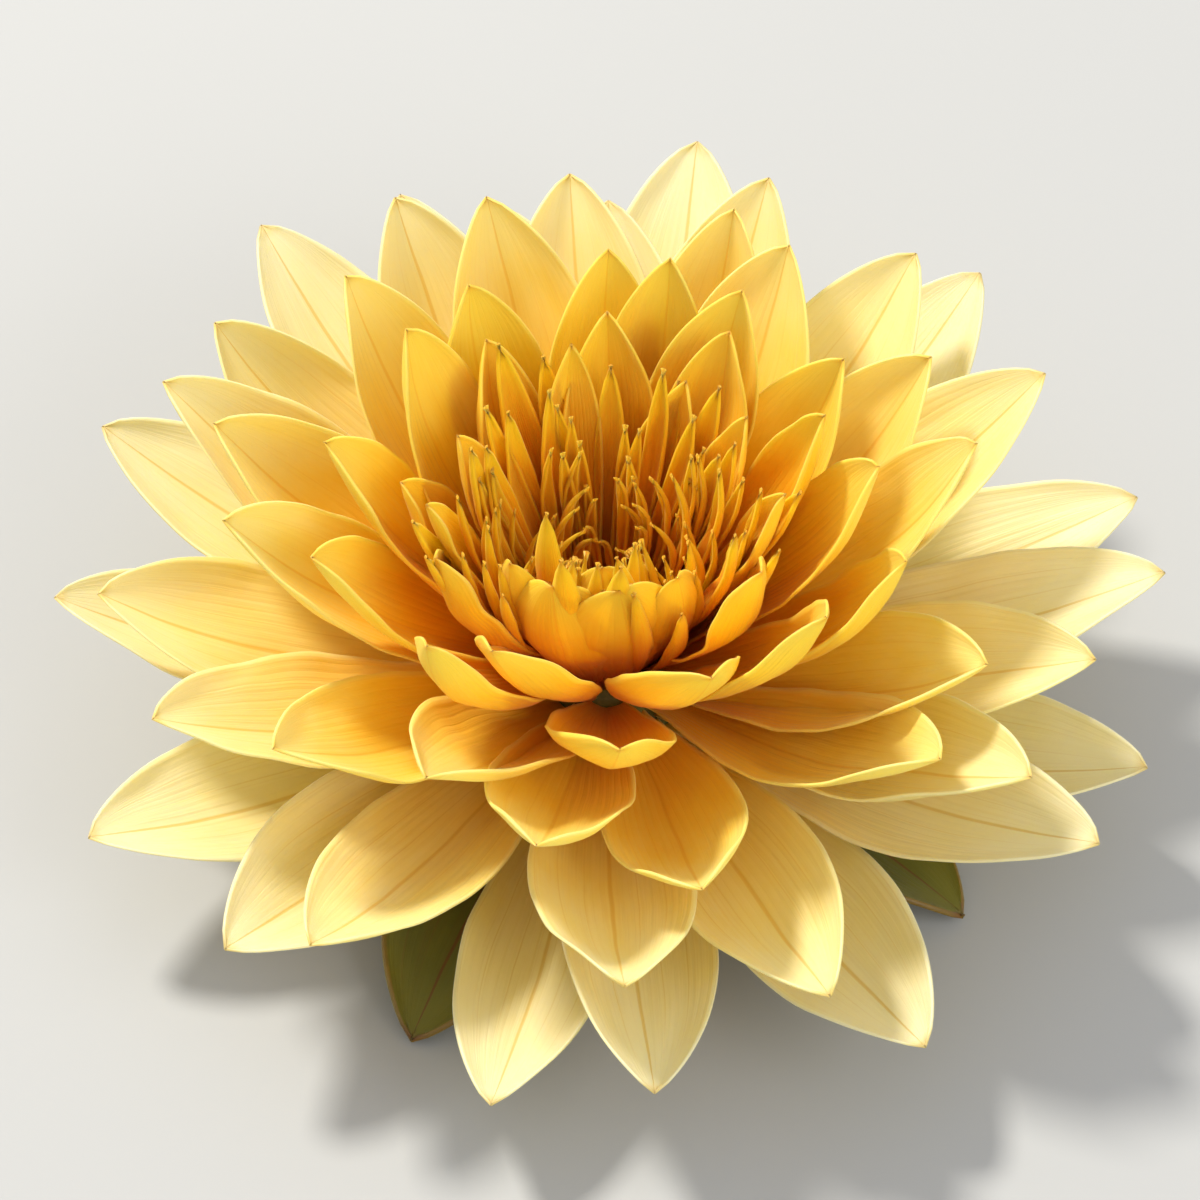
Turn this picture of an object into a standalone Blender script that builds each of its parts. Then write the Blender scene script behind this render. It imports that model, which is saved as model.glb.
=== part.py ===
"""A double water lily flower, picked with a short stub of stem and set down on its sepals.

The origin is on the surface it stands on, under the middle of the stem. The front of the
flower faces -Y. Petals stand on a turned receptacle, in whorls that grow steeper inwards.
"""

import math
import random

import bmesh
import bpy
from mathutils import Matrix, Vector

MM = 0.001

# Driving dimensions, in millimetres and degrees
PETAL_THICKNESS = 0.7
SEPAL_THICKNESS = 0.9
FRONT_LEAN = 6.0            # the front petals lie lower than the back ones by twice this
FRONT_SHORTENING = 4.0      # the outermost petals are shorter at the front, longer at the back
PETAL_BASE_SHARE = 0.28     # half-width where a petal joins the receptacle, over its widest
PETAL_GAP = 0.8             # a petal's end face stands this far off the receptacle
WIDEST_SKEW = 1.45          # moves a petal's widest place past its middle
SAG_SKEW = 1.3              # moves its deepest sag past its middle
WELD_DISTANCE = 0.05
ROUND_SIDES = 32
SEED = 11

# Receptacle and stub of stem: radius at each height, from the flat top to the cut end
RECEPTACLE = (
    (10.6, 24.0), (11.1, 21.5), (11.7, 18.0), (12.0, 15.0), (12.0, 12.0),
    (11.0, 9.5), (8.6, 6.5), (6.2, 5.0), (5.2, 3.6), (5.0, 0.0),
)

# The ovary's disc, dished at the top with a small knob at its middle
OVARY = (
    (0.0, 29.6), (1.1, 29.3), (1.5, 28.2), (3.6, 27.9), (5.2, 29.4),
    (5.7, 28.9), (5.6, 26.8), (4.6, 24.3), (0.0, 24.3),
)

# One whorl of petals at two levels, the high ones lapping over the low ones.
# Each level: height of its foot, elevation above the horizontal, directions round the stem.
WHORLS = {
    "petal_outer": {
        "length": 84.0, "half_width": 11.0, "sag": 0.05, "cup": 0.65,
        "levels": (
            (12.0, 8.5, (-160, -115, -65, -10, 35, 75, 110)),
            (13.5, 13.0, (-140, -90, -45, 5, 60, 95, 135, 170)),
        ),
    },
    "petal_second": {
        "length": 77.5, "half_width": 11.0, "sag": 0.06, "cup": 0.75,
        "levels": (
            (15.0, 20.0, (-175, -125, -85, -35, 25, 80, 140)),
            (16.5, 25.0, (-150, -110, -65, 0, 55, 115, 160)),
        ),
    },
    "petal_third": {
        "length": 69.0, "half_width": 10.5, "sag": 0.08, "cup": 0.8,
        "levels": (
            (18.0, 31.0, (-165, -105, -50, 15, 65, 120, 160)),
            (19.5, 37.0, (-130, -80, -10, 95, 145)),
        ),
    },
    "petal_fourth": {
        "length": 61.0, "half_width": 9.5, "sag": 0.09, "cup": 0.85,
        "levels": (
            (21.0, 45.0, (180, -75, 0, 70, 120)),
            (22.5, 51.0, (-120, -40, 45, 90, 150)),
        ),
    },
}
LENGTH_WOBBLE = 0.02
ELEVATION_WOBBLE = 1.0

# Sepals: they arch over and touch the surface with their tips
SEPAL_DIRECTIONS = (-30, 60, 150, -120)
SEPAL_FOOT = (12.0, 8.6)
SEPAL_REACH = 62.0
SEPAL_HALF_WIDTH = 12.0
SEPAL_ARCH = 0.07
SEPAL_CUP = 0.45

# Crowns of blades that rise from a ring on the receptacle's flat top. Of each few faces
# round the ring, the first number carry a blade and the second number are left between.
CROWN_FLOOR = 24.3
CROWN_RING_HEIGHT = 1.6
CROWN_CUP = 0.7
CROWN_TIP_SHARE = 0.25
INNER_PETALS = {
    "ring": (9.3, 10.7), "count": 9, "first": -5, "faces": (2, 1),
    "length": 46.0, "elevation": 62.0, "half_width": 7.0, "sag": 0.09, "thickness": 0.7,
}
STAMENS_OUTER = {
    "ring": (7.6, 9.0), "count": 20, "first": 0, "faces": (1, 1),
    "length": 40.0, "elevation": 71.0, "half_width": 1.7, "sag": 0.05, "thickness": 0.8,
}
STAMENS_INNER = {
    "ring": (5.9, 7.3), "count": 16, "first": 9, "faces": (1, 1),
    "length": 27.0, "elevation": 88.0, "half_width": 1.1, "sag": 0.12, "thickness": 0.8,
}

# Colours
CREAM_YELLOW = (0.92, 0.78, 0.36)
SOFT_YELLOW = (0.93, 0.72, 0.24)
GOLDEN_YELLOW = (0.94, 0.62, 0.10)
ORANGE = (0.88, 0.38, 0.04)
DEEP_ORANGE = (0.62, 0.20, 0.02)
OLIVE_GREEN = (0.20, 0.25, 0.05)
STEM_GREEN = (0.24, 0.28, 0.09)
STRAW = (0.78, 0.55, 0.12)


def start_collection(name):
    for obj in list(bpy.data.objects):
        bpy.data.objects.remove(obj)
    collection = bpy.data.collections.new(name)
    bpy.context.scene.collection.children.link(collection)
    return collection


def make_material(name, colour, roughness):
    material = bpy.data.materials.new(name)
    material.use_nodes = True
    shader = material.node_tree.nodes["Principled BSDF"]
    shader.inputs["Base Color"].default_value = (*colour, 1.0)
    shader.inputs["Roughness"].default_value = roughness
    shader.inputs["Metallic"].default_value = 0.0
    return material


def add_object(collection, name, mesh, colour, roughness=0.55):
    mesh.materials.append(make_material(name, colour, roughness))
    obj = bpy.data.objects.new(name, mesh)
    collection.objects.link(obj)
    return obj


def radius_of_receptacle(height):
    """The receptacle's radius at a height, between the points of its profile."""
    for (r_high, z_high), (r_low, z_low) in zip(RECEPTACLE, RECEPTACLE[1:]):
        if z_low <= height <= z_high:
            return r_low + (r_high - r_low) * (height - z_low) / (z_high - z_low)
    raise ValueError(f"no receptacle at {height} mm")


def direction_of(azimuth):
    """The level unit vector for a direction counted from the front, -Y, towards +X."""
    angle = math.radians(azimuth)
    return Vector((math.sin(angle), -math.cos(angle), 0.0))


def add_turned(collection, name, profile, colour):
    """A solid of revolution from a profile that runs down its outer side."""
    bm = bmesh.new()
    verts = [bm.verts.new((radius * MM, 0.0, height * MM)) for radius, height in profile]
    for upper, lower in zip(verts, verts[1:]):
        bm.edges.new((upper, lower))
    mesh = bpy.data.meshes.new(name)
    bm.to_mesh(mesh)
    bm.free()
    obj = add_object(collection, name, mesh, colour)
    screw = obj.modifiers.new("Turn", "SCREW")
    screw.steps = screw.render_steps = ROUND_SIDES
    screw.use_merge_vertices = True
    screw.merge_threshold = 0.00005
    return obj


class Blade:
    """The surface of one petal, sepal or stamen between its foot and its tip, in mm."""

    def __init__(self, azimuth, foot, tip, half_width, sag, cup):
        self.outward = direction_of(azimuth)
        self.side = Vector((0.0, 0.0, 1.0)).cross(self.outward)
        self.foot = self.at(*foot)
        run = self.at(*tip) - self.foot
        self.length = run.length
        self.along = run.normalized()
        self.upper = self.along.cross(self.side)
        self.half_width = half_width
        self.sag = sag
        self.cup = cup

    def at(self, radius, height):
        return self.outward * radius + Vector((0.0, 0.0, height))

    def width_share(self, u):
        """Half-width over the widest: narrow at the foot, widest past the middle, pointed."""
        body = math.sin(math.pi * u ** WIDEST_SKEW)
        foot = PETAL_BASE_SHARE * (1.0 - u)
        return math.hypot(body, foot)

    def point(self, u, v, share=None):
        """The point at u from foot to tip and v from edge to edge, -1 to 1."""
        width = self.half_width * (self.width_share(u) if share is None else share)
        turn = self.cup * v
        across = width * math.sin(turn) / self.cup
        lift = width * (1.0 - math.cos(turn)) / self.cup
        dip = self.sag * self.length * math.sin(math.pi * u ** SAG_SKEW)
        middle = self.foot + self.along * (u * self.length)
        return middle + self.side * across + self.upper * (lift - dip)


def add_blade(collection, name, blade, thickness, colour, rows=7, columns=4):
    """A petal or sepal: a grid laid on its surface, then given a wall."""
    bm = bmesh.new()
    bmesh.ops.create_grid(bm, x_segments=columns, y_segments=rows, size=1.0)
    for vert in bm.verts:
        v, u = vert.co.x, (vert.co.y + 1.0) / 2.0
        vert.co = blade.point(u, v) * MM
    bmesh.ops.remove_doubles(bm, verts=bm.verts, dist=WELD_DISTANCE * MM)
    bmesh.ops.recalc_face_normals(bm, faces=bm.faces)
    mesh = bpy.data.meshes.new(name)
    bm.to_mesh(mesh)
    bm.free()
    mesh.shade_smooth()
    obj = add_object(collection, name, mesh, colour)
    wall = obj.modifiers.new("Wall", "SOLIDIFY")
    wall.thickness = thickness * MM
    wall.offset = 0.0
    return obj


def add_whorl(collection, name, whorl, colour, rng):
    """The petals of one whorl, numbered from the back round by the left to the back again."""
    places = [
        (azimuth, height, elevation)
        for height, elevation, azimuths in whorl["levels"]
        for azimuth in azimuths
    ]
    for number, (azimuth, height, elevation) in enumerate(sorted(places), start=1):
        forward = math.cos(math.radians(azimuth))
        length = whorl["length"] * (1.0 + rng.uniform(-LENGTH_WOBBLE, LENGTH_WOBBLE))
        if name == "petal_outer":
            length -= FRONT_SHORTENING * forward
        rise = elevation - FRONT_LEAN * forward
        rise += rng.uniform(-ELEVATION_WOBBLE, ELEVATION_WOBBLE)
        rise = math.radians(rise)
        foot = (radius_of_receptacle(height) + PETAL_GAP, height)
        tip = (length * math.cos(rise), height + length * math.sin(rise))
        blade = Blade(azimuth, foot, tip, whorl["half_width"], whorl["sag"], whorl["cup"])
        add_blade(collection, f"{name}_{number:02d}", blade, PETAL_THICKNESS, colour)


def add_sepals(collection):
    tip = (SEPAL_REACH, SEPAL_THICKNESS / 2.0)
    for number, azimuth in enumerate(SEPAL_DIRECTIONS, start=1):
        blade = Blade(azimuth, SEPAL_FOOT, tip, SEPAL_HALF_WIDTH, -SEPAL_ARCH, SEPAL_CUP)
        add_blade(collection, f"sepal_{number}", blade, SEPAL_THICKNESS, OLIVE_GREEN)


def make_ring(bm, inner, outer, segments):
    """A flat ring of square section, turned about Z; returns its top faces in order."""
    low, high = CROWN_FLOOR * MM, (CROWN_FLOOR + CROWN_RING_HEIGHT) * MM
    corners = ((inner, low), (outer, low), (outer, high), (inner, high))
    verts = [bm.verts.new((radius * MM, 0.0, height)) for radius, height in corners]
    edges = [bm.edges.new((verts[i], verts[(i + 1) % 4])) for i in range(4)]
    bmesh.ops.spin(
        bm, geom=verts + edges, cent=(0, 0, 0), axis=(0, 0, 1),
        steps=segments, angle=math.tau, use_merge=True,
    )
    bmesh.ops.remove_doubles(bm, verts=bm.verts, dist=WELD_DISTANCE * MM)
    bmesh.ops.recalc_face_normals(bm, faces=bm.faces)
    top = [face for face in bm.faces if face.normal.z > 0.9]
    return sorted(top, key=lambda face: azimuth_of(face.calc_center_median()) % math.tau)


def azimuth_of(point):
    return math.atan2(point.x, -point.y)


def add_crown(collection, name, crown, colour, rows=4):
    """Blades that rise from one ring: its top faces are drawn out along each blade."""
    used, spare = crown["faces"]
    pitch = used + spare
    bm = bmesh.new()
    top = make_ring(bm, *crown["ring"], crown["count"] * pitch)
    step = math.tau / len(top)
    foot_radius = sum(crown["ring"]) / 2.0
    foot_height = CROWN_FLOOR + CROWN_RING_HEIGHT
    rise = math.radians(crown["elevation"])
    foot_share = used * step / 2.0 * foot_radius / crown["half_width"]
    for index in range(crown["count"]):
        faces = top[index * pitch:index * pitch + used]
        middle = (index * pitch + used / 2.0) * step
        lean = math.radians(FRONT_LEAN) * math.cos(middle)
        tip = (
            foot_radius + crown["length"] * math.cos(rise - lean),
            foot_height + crown["length"] * math.sin(rise - lean),
        )
        azimuth = math.degrees(middle)
        blade = Blade(
            azimuth, (foot_radius, foot_height), tip,
            crown["half_width"], crown["sag"], CROWN_CUP,
        )
        draw_out(bm, faces, blade, foot_share, crown["thickness"], rows)
    bmesh.ops.rotate(
        bm, verts=bm.verts, cent=(0, 0, 0),
        matrix=Matrix.Rotation(math.radians(crown["first"]), 3, "Z"),
    )
    mesh = bpy.data.meshes.new(name)
    bm.to_mesh(mesh)
    bm.free()
    return add_object(collection, name, mesh, colour)


def draw_out(bm, faces, blade, foot_share, thickness, rows):
    """Extrudes neighbouring faces step by step, each new section laid on the blade."""
    for row in range(1, rows + 1):
        u = row / rows
        result = bmesh.ops.extrude_face_region(bm, geom=faces)
        bmesh.ops.delete(bm, geom=faces, context="FACES_ONLY")
        verts = [item for item in result["geom"] if isinstance(item, bmesh.types.BMVert)]
        faces = [item for item in result["geom"] if isinstance(item, bmesh.types.BMFace)]
        body = max(math.sin(math.pi * u ** SAG_SKEW), 0.0) ** 0.7
        share = max(foot_share * (1.0 - u) + body, CROWN_TIP_SHARE)
        place_section(verts, blade, u, share, thickness)


def place_section(verts, blade, u, share, thickness):
    """Puts one extruded section's corners on the two faces of the blade."""
    def side_of(vert):
        return vert.co.dot(blade.side)

    def outward_of(vert):
        return vert.co.dot(blade.outward)

    ordered = sorted(verts, key=side_of)
    columns = [sorted(ordered[i:i + 2], key=outward_of) for i in range(0, len(ordered), 2)]
    for number, (inner, outer) in enumerate(columns):
        v = -1.0 + 2.0 * number / (len(columns) - 1)
        point = blade.point(u, v, share)
        inner.co = (point + blade.upper * thickness / 2.0) * MM
        outer.co = (point - blade.upper * thickness / 2.0) * MM


def build():
    rng = random.Random(SEED)
    flower = start_collection("water_lily_flower")
    stem_profile = ((0.0, RECEPTACLE[0][1]), *RECEPTACLE, (0.0, 0.0))
    add_turned(flower, "flower_stem", stem_profile, STEM_GREEN)
    add_turned(flower, "ovary", OVARY, STRAW)
    add_sepals(flower)
    colours = (CREAM_YELLOW, CREAM_YELLOW, SOFT_YELLOW, GOLDEN_YELLOW)
    for (name, whorl), colour in zip(WHORLS.items(), colours):
        add_whorl(flower, name, whorl, colour, rng)
    add_crown(flower, "petals_inner", INNER_PETALS, GOLDEN_YELLOW)
    add_crown(flower, "stamens_outer", STAMENS_OUTER, ORANGE)
    add_crown(flower, "stamens_inner", STAMENS_INNER, DEEP_ORANGE)


build()
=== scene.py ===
"""A double water lily flower in bloom, set down on its sepals on a pale floor."""

import math

import bmesh
import bpy
import numpy as np
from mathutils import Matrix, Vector
from mathutils.bvhtree import BVHTree


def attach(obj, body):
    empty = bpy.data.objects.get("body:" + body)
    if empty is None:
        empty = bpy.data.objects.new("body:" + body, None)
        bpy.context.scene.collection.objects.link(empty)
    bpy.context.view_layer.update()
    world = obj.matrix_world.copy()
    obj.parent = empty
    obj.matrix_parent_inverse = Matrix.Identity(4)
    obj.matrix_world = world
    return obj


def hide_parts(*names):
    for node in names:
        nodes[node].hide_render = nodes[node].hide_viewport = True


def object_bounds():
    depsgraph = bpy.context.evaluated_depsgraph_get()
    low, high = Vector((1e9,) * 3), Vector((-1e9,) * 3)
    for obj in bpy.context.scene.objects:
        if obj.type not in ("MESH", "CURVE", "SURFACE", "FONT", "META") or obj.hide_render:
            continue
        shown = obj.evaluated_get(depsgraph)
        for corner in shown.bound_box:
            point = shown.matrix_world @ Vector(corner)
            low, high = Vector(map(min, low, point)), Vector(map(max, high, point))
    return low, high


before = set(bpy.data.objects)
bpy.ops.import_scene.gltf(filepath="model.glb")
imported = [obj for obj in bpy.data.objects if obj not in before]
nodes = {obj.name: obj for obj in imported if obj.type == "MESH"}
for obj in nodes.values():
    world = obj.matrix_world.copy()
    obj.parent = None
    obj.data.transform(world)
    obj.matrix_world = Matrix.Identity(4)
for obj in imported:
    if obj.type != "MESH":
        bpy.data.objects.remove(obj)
cad_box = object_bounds()
MM = 0.001


# The studio: a pale floor that the flower rests on, a soft warm lamp high at the back left,
# a larger cool one low at the front right, and a camera that looks down on the flower's front.
FLOOR_SIZE = 8.0
FLOOR_COLOUR = (0.46, 0.46, 0.45, 1.0)
VIEW_ELEVATION = math.radians(52.0)
VIEW_DISTANCE = 1.2
VIEW_TARGET = Vector((-0.0009, 0.0093, 0.0223))
LENS_MM = 243.0


def add_floor():
    bm = bmesh.new()
    bmesh.ops.create_grid(bm, x_segments=1, y_segments=1, size=FLOOR_SIZE / 2.0)
    mesh = bpy.data.meshes.new("floor")
    bm.to_mesh(mesh)
    bm.free()
    material = bpy.data.materials.new("floor_paint")
    material.use_nodes = True
    shader = material.node_tree.nodes["Principled BSDF"]
    shader.inputs["Base Color"].default_value = FLOOR_COLOUR
    shader.inputs["Roughness"].default_value = 0.7
    mesh.materials.append(material)
    floor = bpy.data.objects.new("floor", mesh)
    bpy.context.scene.collection.objects.link(floor)


def add_lamp(name, place, size, power, colour):
    light = bpy.data.lights.new(name, "AREA")
    light.shape = "DISK"
    light.size = size
    light.energy = power
    light.color = colour
    lamp = bpy.data.objects.new(name, light)
    lamp.location = place
    lamp.rotation_euler = (VIEW_TARGET - Vector(place)).to_track_quat("-Z", "Y").to_euler()
    bpy.context.scene.collection.objects.link(lamp)


def add_camera():
    camera = bpy.data.objects.new("camera", bpy.data.cameras.new("camera"))
    camera.data.lens = LENS_MM
    camera.data.sensor_width = 36.0
    away = Vector((0.0, -math.cos(VIEW_ELEVATION), math.sin(VIEW_ELEVATION)))
    camera.location = VIEW_TARGET + away * VIEW_DISTANCE
    camera.rotation_euler = (-away).to_track_quat("-Z", "Y").to_euler()
    bpy.context.scene.collection.objects.link(camera)
    bpy.context.scene.camera = camera


def set_sky(colour, strength):
    world = bpy.data.worlds.new("sky")
    world.use_nodes = True
    background = world.node_tree.nodes["Background"]
    background.inputs["Color"].default_value = (*colour, 1.0)
    background.inputs["Strength"].default_value = strength
    bpy.context.scene.world = world


bpy.context.scene.view_settings.view_transform = "Standard"
add_floor()
add_lamp("key", (-0.8, 0.75, 1.5), 0.35, 36.0, (1.0, 0.97, 0.90))
add_lamp("fill", (1.2, -0.9, 1.1), 1.2, 11.0, (0.95, 0.97, 1.0))
set_sky((0.96, 0.97, 1.0), 0.70)
add_camera()


# The petal form: one tree shapes every petal and sepal from its foot to its tip. A petal is
# narrow at the foot, widest past the middle, cupped across, and pinched to a point. It is
# held by its foot alone, so it bends a little to clear the petals round it.
class Tree:
    """Adds nodes to a geometry tree and links them as they are made.

    In node(), _0 feeds the first input socket, _1 the second and so on.
    """

    def __init__(self, name, inputs):
        self.tree = bpy.data.node_groups.new(name, "GeometryNodeTree")
        self.tree.is_modifier = True
        for label, kind, value in inputs:
            socket = self.tree.interface.new_socket(label, in_out="INPUT", socket_type=kind)
            if value is not None:
                socket.default_value = value
        self.tree.interface.new_socket("Geometry", in_out="OUTPUT", socket_type="NodeSocketGeometry")
        self.inputs = self.tree.nodes.new("NodeGroupInput").outputs
        self.output = self.tree.nodes.new("NodeGroupOutput").inputs["Geometry"]

    def node(self, kind, settings=None, **links):
        node = self.tree.nodes.new(kind)
        for key, value in (settings or {}).items():
            setattr(node, key, value)
        for key, value in links.items():
            self.feed(node.inputs[int(key[1:]) if key[1:].isdigit() else key], value)
        return node

    def feed(self, socket, value):
        if isinstance(value, bpy.types.NodeSocket):
            self.tree.links.new(value, socket)
        else:
            socket.default_value = value

    def maths(self, operation, *values):
        node = self.tree.nodes.new("ShaderNodeMath")
        node.operation = operation
        for socket, value in zip(node.inputs, values):
            self.feed(socket, value)
        return node.outputs[0]

    def add(self, first, *others):
        for other in others:
            first = self.maths("ADD", first, other)
        return first

    def times(self, first, *others):
        for other in others:
            first = self.maths("MULTIPLY", first, other)
        return first

    def less(self, first, second):
        return self.maths("SUBTRACT", first, second)

    def power(self, base, exponent):
        return self.maths("POWER", base, exponent)

    def sine(self, angle):
        return self.maths("SINE", angle)

    def vector(self, x, y, z):
        return self.node("ShaderNodeCombineXYZ", _0=x, _1=y, _2=z).outputs[0]

    def turned(self, vector, axis, angle):
        settings = {"rotation_type": axis}
        node = self.node("ShaderNodeVectorRotate", settings)
        self.feed(node.inputs["Vector"], vector)
        self.feed(node.inputs["Angle"], angle)
        return node.outputs[0]

    def noise(self, vector, seed, scale):
        node = self.node("ShaderNodeTexNoise", {"noise_dimensions": "4D"})
        self.feed(node.inputs["Vector"], vector)
        self.feed(node.inputs["W"], seed)
        self.feed(node.inputs["Scale"], scale)
        node.inputs["Detail"].default_value = 1.0
        return self.less(node.outputs["Fac"], 0.5)


FLOAT, WHOLE = "NodeSocketFloat", "NodeSocketInt"
PETAL_INPUTS = (
    ("Azimuth", FLOAT, 0.0), ("Foot Radius", FLOAT, 0.01), ("Foot Height", FLOAT, 0.0),
    ("Tip Radius", FLOAT, 0.06), ("Tip Height", FLOAT, 0.03), ("Half Width", FLOAT, 0.01),
    ("Foot Share", FLOAT, 0.3), ("Sag", FLOAT, 0.05), ("Cup", FLOAT, 0.8),
    ("Hood", FLOAT, 0.8), ("Ripple", FLOAT, 0.0008), ("Roll", FLOAT, 0.0),
    ("Side Bend", FLOAT, 0.0), ("Groove", FLOAT, 0.0004), ("Thickness", FLOAT, 0.0005),
    ("Rows", WHOLE, 45), ("Columns", WHOLE, 23), ("Seed", FLOAT, 0.0),
    ("Material", "NodeSocketMaterial", None),
)
WIDEST_SKEW = 1.3
OUTLINE_FULLNESS = 0.68
LEAST_SHARE_SQUARED = 0.0002
HOOD_POWER = 5.0
WAVE_ACROSS = 0.9
WAVE_ALONG = 2.6
WAVE_SCALE = 1.6
WAVE_IN_MIDDLE = 1.3
WAVE_AT_MARGIN = 4.5
GROOVE_SHARPNESS = 60.0
MARGIN_THINNING = 0.55
TIP_THINNING = 0.6
WELD_DISTANCE = 0.002 * MM


def build_petal_tree():
    t = Tree("petal_form", PETAL_INPUTS)
    given = t.inputs
    grid = t.node("GeometryNodeMeshGrid", _0=2.0, _1=1.0)
    t.feed(grid.inputs["Vertices X"], given["Columns"])
    t.feed(grid.inputs["Vertices Y"], given["Rows"])
    spot = t.node("ShaderNodeSeparateXYZ", _0=t.node("GeometryNodeInputPosition").outputs[0])
    v = spot.outputs["X"]
    u = t.add(spot.outputs["Y"], 0.5)
    u = t.maths("MINIMUM", t.maths("MAXIMUM", u, 0.0), 1.0)

    rise = t.less(given["Tip Height"], given["Foot Height"])
    reach = t.less(given["Tip Radius"], given["Foot Radius"])
    length = t.maths("SQRT", t.add(t.times(rise, rise), t.times(reach, reach)))

    swell = t.sine(t.times(t.power(u, WIDEST_SKEW), math.pi))
    body = t.power(t.maths("ABSOLUTE", swell), OUTLINE_FULLNESS)
    foot = t.times(t.less(1.0, u), given["Foot Share"])
    squares = t.add(t.times(body, body), t.times(foot, foot), LEAST_SHARE_SQUARED)
    share = t.maths("SQRT", squares)
    width = t.times(share, given["Half Width"])

    cup = t.times(given["Cup"], t.add(1.0, t.times(t.power(u, HOOD_POWER), given["Hood"])))
    angle = t.times(cup, v)
    across = t.maths("DIVIDE", t.times(width, t.sine(angle)), cup)
    lift = t.maths("DIVIDE", t.times(width, t.less(1.0, t.maths("COSINE", angle))), cup)
    dip = t.times(swell, given["Sag"], length)

    place = t.vector(t.times(v, WAVE_ACROSS), t.times(u, WAVE_ALONG), 0.0)
    wave = t.noise(place, given["Seed"], WAVE_SCALE)
    edge = t.power(t.maths("ABSOLUTE", v), 2.0)
    body_share = t.maths("MINIMUM", share, 1.0)
    height = t.add(WAVE_IN_MIDDLE, t.times(edge, WAVE_AT_MARGIN))
    ripple = t.times(wave, given["Ripple"], body_share, height)
    groove = t.maths("EXPONENT", t.times(v, v, -GROOVE_SHARPNESS))
    groove = t.times(groove, given["Groove"], body_share)
    drift = t.times(t.power(u, 2.0), given["Side Bend"])
    upper = t.less(t.add(lift, ripple), t.add(dip, groove))
    local = t.vector(t.add(across, drift), 0.0, upper)
    local = t.turned(local, "Y_AXIS", given["Roll"])
    local = t.node(
        "ShaderNodeVectorMath", {"operation": "ADD"},
        _0=local, _1=t.vector(0.0, t.times(u, length), 0.0),
    ).outputs[0]
    local = t.turned(local, "X_AXIS", t.maths("ARCTAN2", rise, reach))
    local = t.node(
        "ShaderNodeVectorMath", {"operation": "ADD"},
        _0=local, _1=t.vector(0.0, given["Foot Radius"], given["Foot Height"]),
    ).outputs[0]
    local = t.turned(local, "Z_AXIS", t.add(given["Azimuth"], math.pi))

    marked = t.node(
        "GeometryNodeStoreNamedAttribute", {"data_type": "FLOAT_VECTOR", "domain": "POINT"},
        _0=grid.outputs["Mesh"],
    )
    marked.inputs["Name"].default_value = "petal_place"
    t.feed(marked.inputs["Value"], t.vector(v, u, given["Seed"]))
    shaped = t.node("GeometryNodeSetPosition", _0=marked.outputs[0])
    t.feed(shaped.inputs["Position"], local)

    thin = t.less(1.0, t.times(t.power(t.maths("ABSOLUTE", v), 4.0), MARGIN_THINNING))
    thin_tip = t.less(1.0, t.times(t.power(u, 6.0), TIP_THINNING))
    thin = t.times(thin, thin_tip, given["Thickness"])
    inner = t.node("GeometryNodeExtrudeMesh", {"mode": "FACES"})
    t.feed(inner.inputs["Mesh"], shaped.outputs[0])
    t.feed(inner.inputs["Offset Scale"], thin)
    inner.inputs["Individual"].default_value = False
    outer = t.node("GeometryNodeFlipFaces", _0=shaped.outputs[0])
    inner_marked = t.node(
        "GeometryNodeStoreNamedAttribute", {"data_type": "FLOAT", "domain": "POINT"},
        _0=inner.outputs["Mesh"],
    )
    inner_marked.inputs["Name"].default_value = "petal_inner"
    inner_marked.inputs["Value"].default_value = 1.0
    joined = t.node("GeometryNodeJoinGeometry")
    t.tree.links.new(inner_marked.outputs[0], joined.inputs[0])
    t.tree.links.new(outer.outputs[0], joined.inputs[0])
    merged = t.node("GeometryNodeMergeByDistance", _0=joined.outputs[0])
    merged.inputs["Distance"].default_value = WELD_DISTANCE
    smooth = t.node("GeometryNodeSetShadeSmooth", _0=merged.outputs[0])
    real = t.node("GeometryNodeRealizeInstances", _0=smooth.outputs[0])
    done = t.node("GeometryNodeSetMaterial", _0=real.outputs[0])
    t.feed(done.inputs["Material"], given["Material"])
    t.tree.links.new(done.outputs[0], t.output)
    return t.tree


def grown(name, tree, values):
    """Evaluates a tree with its named inputs and returns the result as a plain mesh object."""
    holder = bpy.data.objects.new(name, bpy.data.meshes.new(name))
    bpy.context.scene.collection.objects.link(holder)
    modifier = holder.modifiers.new("Form", "NODES")
    modifier.node_group = tree
    for item in tree.interface.items_tree:
        if item.in_out == "INPUT" and item.name in values:
            modifier[item.identifier] = values[item.name]
    bpy.context.view_layer.update()
    evaluated = holder.evaluated_get(bpy.context.evaluated_depsgraph_get())
    mesh = bpy.data.meshes.new_from_object(evaluated)
    holder.modifiers.remove(modifier)
    holder.data = mesh
    mesh.name = name
    return holder


petal_tree = build_petal_tree()
placed_blades = []
CROWDED_RADIUS = 28.0 * MM
TRIES = 8
MOST_ROLL = 10.0
MOST_SIDE_BEND = 3.5
LEAST_SAG = 0.6
MOST_SAG = 1.5
HIGHEST_TIP = cad_box[1][2] - 1.0 * MM


def blade_past_crowd(petal):
    """The petal's surface outside the crowded middle, where feet press into each other."""
    mesh = petal.data
    faces = [
        tuple(face.vertices) for face in mesh.polygons
        if math.hypot(face.center.x, face.center.y) > CROWDED_RADIUS
    ]
    return BVHTree.FromPolygons([vert.co for vert in mesh.vertices], faces)


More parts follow.
